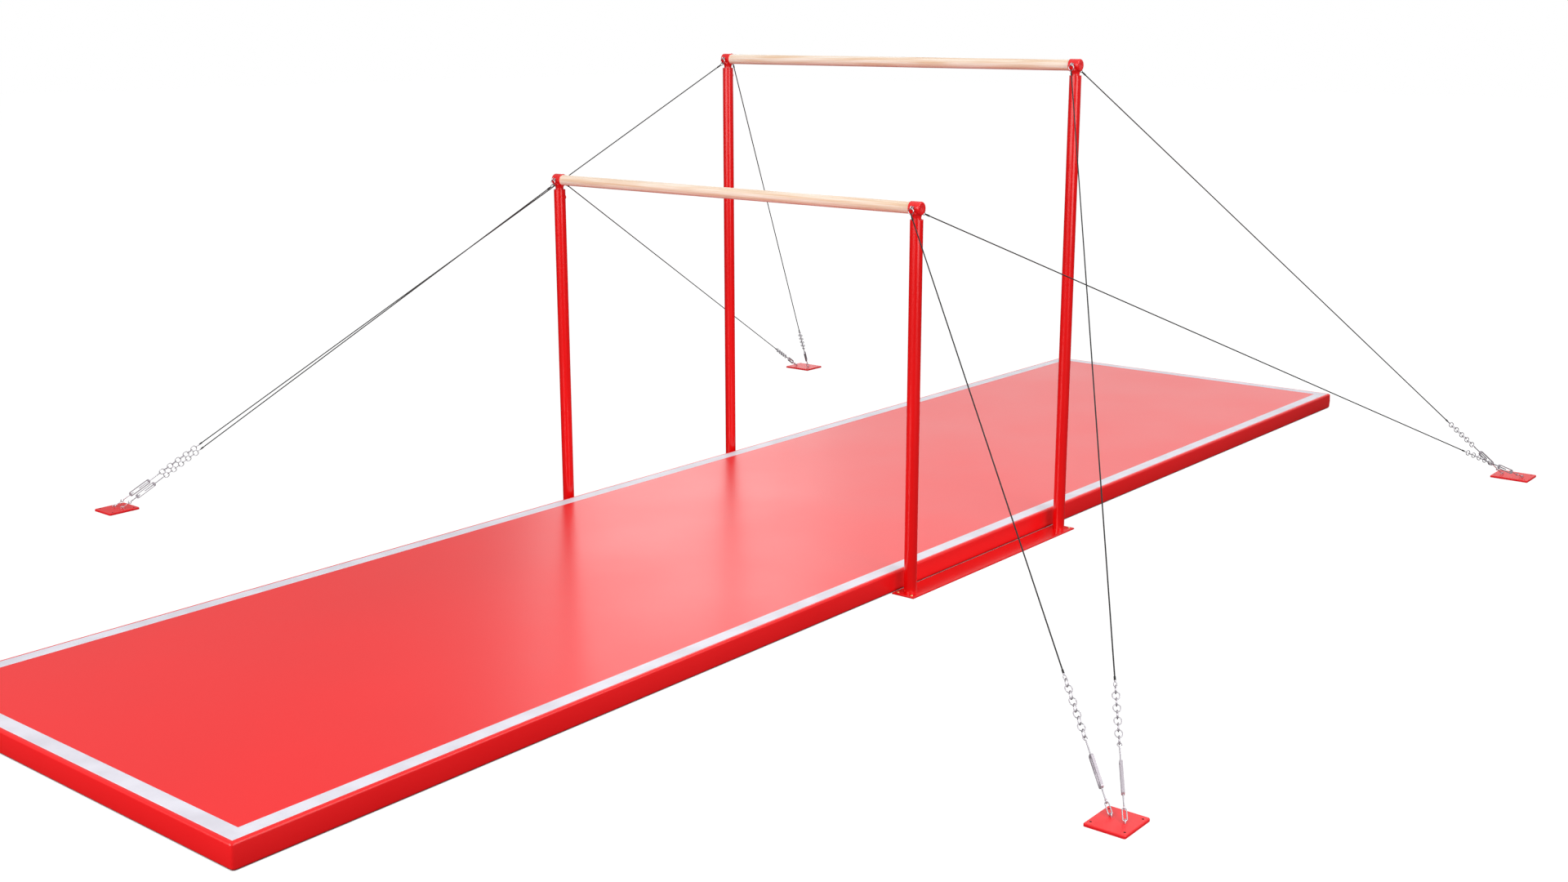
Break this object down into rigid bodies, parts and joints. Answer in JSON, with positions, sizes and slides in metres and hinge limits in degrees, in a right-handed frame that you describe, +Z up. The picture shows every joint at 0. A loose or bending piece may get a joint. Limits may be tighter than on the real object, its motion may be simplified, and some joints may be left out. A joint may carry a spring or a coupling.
{
  "type": "uneven bars",
  "caption": "Gymnastics uneven bars: a low and a high wooden rail on red telescopic uprights, steadied by tensioned guy lines, over a red landing mat",
  "frame": {"origin": "on the floor, under the middle of the mat", "axes": "+X along the rails, +Y along the mat from the low bar to the high bar, +Z up"},
  "size_m": [6.637, 9.265, 2.559],
  "materials": {
    "mat_cover": "gloss",
    "mat_foam": "matte",
    "border_tape": "satin",
    "red_paint": "gloss",
    "head_paint": "gloss",
    "anchor_paint": "gloss",
    "zinc_bolts": "satin",
    "bolt_steel": "satin",
    "bush_nylon": "matte",
    "rail_wood": "satin",
    "rail_core": "satin",
    "cap_plastic": "gloss",
    "eye_chrome": "polished",
    "line_steel": "satin",
    "frame_steel": "satin",
    "rope_black": "satin"
  },
  "bodies": {
    "base": {"mat_cover": "mat_cover", "mat_foam_core": "mat_foam", "mat_border_tape": "border_tape", "base_plate_left": "red_paint", "base_plate_right": "red_paint", "base_plate_bolts": "zinc_bolts", "foot_spigots": "red_paint", "uprights_low": "red_paint", "uprights_high": "red_paint", "guide_bushes": "bush_nylon", "height_clamp_screws": "bolt_steel", "anchor_plates_front": "anchor_paint", "anchor_plates_back": "anchor_paint", "anchor_staples": "line_steel"},
    "low_bar": {"low_rail": "rail_wood", "low_rail_core": "rail_core", "low_heads": "head_paint", "low_stems": "red_paint", "low_rail_bolts": "bolt_steel", "low_head_caps": "cap_plastic", "low_head_eyes": "eye_chrome"},
    "high_bar": {"high_rail": "rail_wood", "high_rail_core": "rail_core", "high_heads": "head_paint", "high_stems": "red_paint", "high_rail_bolts": "bolt_steel", "high_head_caps": "cap_plastic", "high_head_eyes": "eye_chrome"},
    "hook_low_left_front": {"hook_low_left_front": "line_steel"},
    "turnbuckle_low_left_front": {"turnbuckle_low_left_front": "frame_steel"},
    "rope_low_left_front": {"rope_low_left_front": "rope_black", "chain_low_left_front": "line_steel"},
    "hook_low_right_front": {"hook_low_right_front": "line_steel"},
    "turnbuckle_low_right_front": {"turnbuckle_low_right_front": "frame_steel"},
    "rope_low_right_front": {"rope_low_right_front": "rope_black", "chain_low_right_front": "line_steel"},
    "hook_low_left_back": {"hook_low_left_back": "line_steel"},
    "turnbuckle_low_left_back": {"turnbuckle_low_left_back": "frame_steel"},
    "rope_low_left_back": {"rope_low_left_back": "rope_black", "chain_low_left_back": "line_steel"},
    "hook_low_right_back": {"hook_low_right_back": "line_steel"},
    "turnbuckle_low_right_back": {"turnbuckle_low_right_back": "frame_steel"},
    "rope_low_right_back": {"rope_low_right_back": "rope_black", "chain_low_right_back": "line_steel"},
    "hook_high_left_front": {"hook_high_left_front": "line_steel"},
    "turnbuckle_high_left_front": {"turnbuckle_high_left_front": "frame_steel"},
    "rope_high_left_front": {"rope_high_left_front": "rope_black", "chain_high_left_front": "line_steel"},
    "hook_high_right_front": {"hook_high_right_front": "line_steel"},
    "turnbuckle_high_right_front": {"turnbuckle_high_right_front": "frame_steel"},
    "rope_high_right_front": {"rope_high_right_front": "rope_black", "chain_high_right_front": "line_steel"},
    "hook_high_left_back": {"hook_high_left_back": "line_steel"},
    "turnbuckle_high_left_back": {"turnbuckle_high_left_back": "frame_steel"},
    "rope_high_left_back": {"rope_high_left_back": "rope_black", "chain_high_left_back": "line_steel"},
    "hook_high_right_back": {"hook_high_right_back": "line_steel"},
    "turnbuckle_high_right_back": {"turnbuckle_high_right_back": "frame_steel"},
    "rope_high_right_back": {"rope_high_right_back": "rope_black", "chain_high_right_back": "line_steel"}
  },
  "joints": [
    {"name": "low_bar_lift", "type": "slide", "parent": "base", "child": "low_bar", "axis": [0, 0, 1], "range_m": [0, 0.1]},
    {"name": "high_bar_lift", "type": "slide", "parent": "base", "child": "high_bar", "axis": [0, 0, 1], "range_m": [0, 0.1]},
    {"name": "tilt_low_left_front", "type": "hinge", "parent": "base", "child": "hook_low_left_front", "pos_m": [-3.20113, -2.43952, 0.01774], "axis": [0.6189, -0.7855, 0], "range_deg": [0, 1.45]},
    {"name": "stretch_low_left_front", "type": "slide", "parent": "hook_low_left_front", "child": "rope_low_left_front", "axis": [0.6352, 0.5005, 0.5882], "range_m": [0, 0.05986]},
    {"name": "spin_low_left_front", "type": "hinge", "parent": "hook_low_left_front", "child": "turnbuckle_low_left_front", "pos_m": [-3.20113, -2.43952, 0.01774], "axis": [0.6352, 0.5005, 0.5882], "range_deg": [-180, 180]},
    {"name": "tilt_low_right_front", "type": "hinge", "parent": "base", "child": "hook_low_right_front", "pos_m": [3.20113, -2.43952, 0.01774], "axis": [0.6189, 0.7855, 0], "range_deg": [0, 1.45]},
    {"name": "stretch_low_right_front", "type": "slide", "parent": "hook_low_right_front", "child": "rope_low_right_front", "axis": [-0.6352, 0.5005, 0.5882], "range_m": [0, 0.05986]},
    {"name": "spin_low_right_front", "type": "hinge", "parent": "hook_low_right_front", "child": "turnbuckle_low_right_front", "pos_m": [3.20113, -2.43952, 0.01774], "axis": [-0.6352, 0.5005, 0.5882], "range_deg": [-180, 180]},
    {"name": "tilt_low_left_back", "type": "hinge", "parent": "base", "child": "hook_low_left_back", "pos_m": [-2.86299, 3.37747, 0.01713], "axis": [-0.9281, -0.3724, 0], "range_deg": [0, 1.09]},
    {"name": "stretch_low_left_back", "type": "slide", "parent": "hook_low_left_back", "child": "rope_low_left_back", "axis": [0.3439, -0.8572, 0.3833], "range_m": [0, 0.03923]},
    {"name": "spin_low_left_back", "type": "hinge", "parent": "hook_low_left_back", "child": "turnbuckle_low_left_back", "pos_m": [-2.86299, 3.37747, 0.01713], "axis": [0.3439, -0.8572, 0.3833], "range_deg": [-180, 180]},
    {"name": "tilt_low_right_back", "type": "hinge", "parent": "base", "child": "hook_low_right_back", "pos_m": [2.86299, 3.37747, 0.01713], "axis": [-0.9281, 0.3724, 0], "range_deg": [0, 1.09]},
    {"name": "stretch_low_right_back", "type": "slide", "parent": "hook_low_right_back", "child": "rope_low_right_back", "axis": [-0.3439, -0.8572, 0.3833], "range_m": [0, 0.03923]},
    {"name": "spin_low_right_back", "type": "hinge", "parent": "hook_low_right_back", "child": "turnbuckle_low_right_back", "pos_m": [2.86299, 3.37747, 0.01713], "axis": [-0.3439, -0.8572, 0.3833], "range_deg": [-180, 180]},
    {"name": "tilt_high_left_front", "type": "hinge", "parent": "base", "child": "hook_high_left_front", "pos_m": [-3.26562, -2.45298, 0.01766], "axis": [0.8258, -0.564, 0], "range_deg": [0, 1.06]},
    {"name": "stretch_high_left_front", "type": "slide", "parent": "hook_high_left_front", "child": "rope_high_left_front", "axis": [0.4669, 0.6836, 0.561], "range_m": [0, 0.05689]},
    {"name": "spin_high_left_front", "type": "hinge", "parent": "hook_high_left_front", "child": "turnbuckle_high_left_front", "pos_m": [-3.26562, -2.45298, 0.01766], "axis": [0.4669, 0.6836, 0.561], "range_deg": [-180, 180]},
    {"name": "tilt_high_right_front", "type": "hinge", "parent": "base", "child": "hook_high_right_front", "pos_m": [3.26562, -2.45298, 0.01766], "axis": [0.8258, 0.564, 0], "range_deg": [0, 1.06]},
    {"name": "stretch_high_right_front", "type": "slide", "parent": "hook_high_right_front", "child": "rope_high_right_front", "axis": [-0.4669, 0.6836, 0.561], "range_m": [0, 0.05689]},
    {"name": "spin_high_right_front", "type": "hinge", "parent": "hook_high_right_front", "child": "turnbuckle_high_right_front", "pos_m": [3.26562, -2.45298, 0.01766], "axis": [-0.4669, 0.6836, 0.561], "range_deg": [-180, 180]},
    {"name": "tilt_high_left_back", "type": "hinge", "parent": "base", "child": "hook_high_left_back", "pos_m": [-2.74286, 3.37799, 0.01784], "axis": [-0.8691, -0.4946, 0], "range_deg": [0, 1.11]},
    {"name": "stretch_high_left_back", "type": "slide", "parent": "hook_high_left_back", "child": "rope_high_left_back", "axis": [0.387, -0.6801, 0.6226], "range_m": [0, 0.06304]},
    {"name": "spin_high_left_back", "type": "hinge", "parent": "hook_high_left_back", "child": "turnbuckle_high_left_back", "pos_m": [-2.74286, 3.37799, 0.01784], "axis": [0.387, -0.6801, 0.6226], "range_deg": [-180, 180]},
    {"name": "tilt_high_right_back", "type": "hinge", "parent": "base", "child": "hook_high_right_back", "pos_m": [2.74286, 3.37799, 0.01784], "axis": [-0.8691, 0.4946, 0], "range_deg": [0, 1.11]},
    {"name": "stretch_high_right_back", "type": "slide", "parent": "hook_high_right_back", "child": "rope_high_right_back", "axis": [-0.387, -0.6801, 0.6226], "range_m": [0, 0.06304]},
    {"name": "spin_high_right_back", "type": "hinge", "parent": "hook_high_right_back", "child": "turnbuckle_high_right_back", "pos_m": [2.74286, 3.37799, 0.01784], "axis": [-0.387, -0.6801, 0.6226], "range_deg": [-180, 180]}
  ],
  "couplings": [
    {"joint": "tilt_low_left_front", "follows": "low_bar_lift", "rad_per_m": 0.25195},
    {"joint": "stretch_low_left_front", "follows": "low_bar_lift", "ratio": 0.59839},
    {"joint": "tilt_low_right_front", "follows": "low_bar_lift", "rad_per_m": 0.25195},
    {"joint": "stretch_low_right_front", "follows": "low_bar_lift", "ratio": 0.59839},
    {"joint": "tilt_low_left_back", "follows": "low_bar_lift", "rad_per_m": 0.18949},
    {"joint": "stretch_low_left_back", "follows": "low_bar_lift", "ratio": 0.3921},
    {"joint": "tilt_low_right_back", "follows": "low_bar_lift", "rad_per_m": 0.18949},
    {"joint": "stretch_low_right_back", "follows": "low_bar_lift", "ratio": 0.3921},
    {"joint": "tilt_high_left_front", "follows": "high_bar_lift", "rad_per_m": 0.18474},
    {"joint": "stretch_high_left_front", "follows": "high_bar_lift", "ratio": 0.56867},
    {"joint": "tilt_high_right_front", "follows": "high_bar_lift", "rad_per_m": 0.18474},
    {"joint": "stretch_high_right_front", "follows": "high_bar_lift", "ratio": 0.56867},
    {"joint": "tilt_high_left_back", "follows": "high_bar_lift", "rad_per_m": 0.19326},
    {"joint": "stretch_high_left_back", "follows": "high_bar_lift", "ratio": 0.63016},
    {"joint": "tilt_high_right_back", "follows": "high_bar_lift", "rad_per_m": 0.19326},
    {"joint": "stretch_high_right_back", "follows": "high_bar_lift", "ratio": 0.63016}
  ]
}
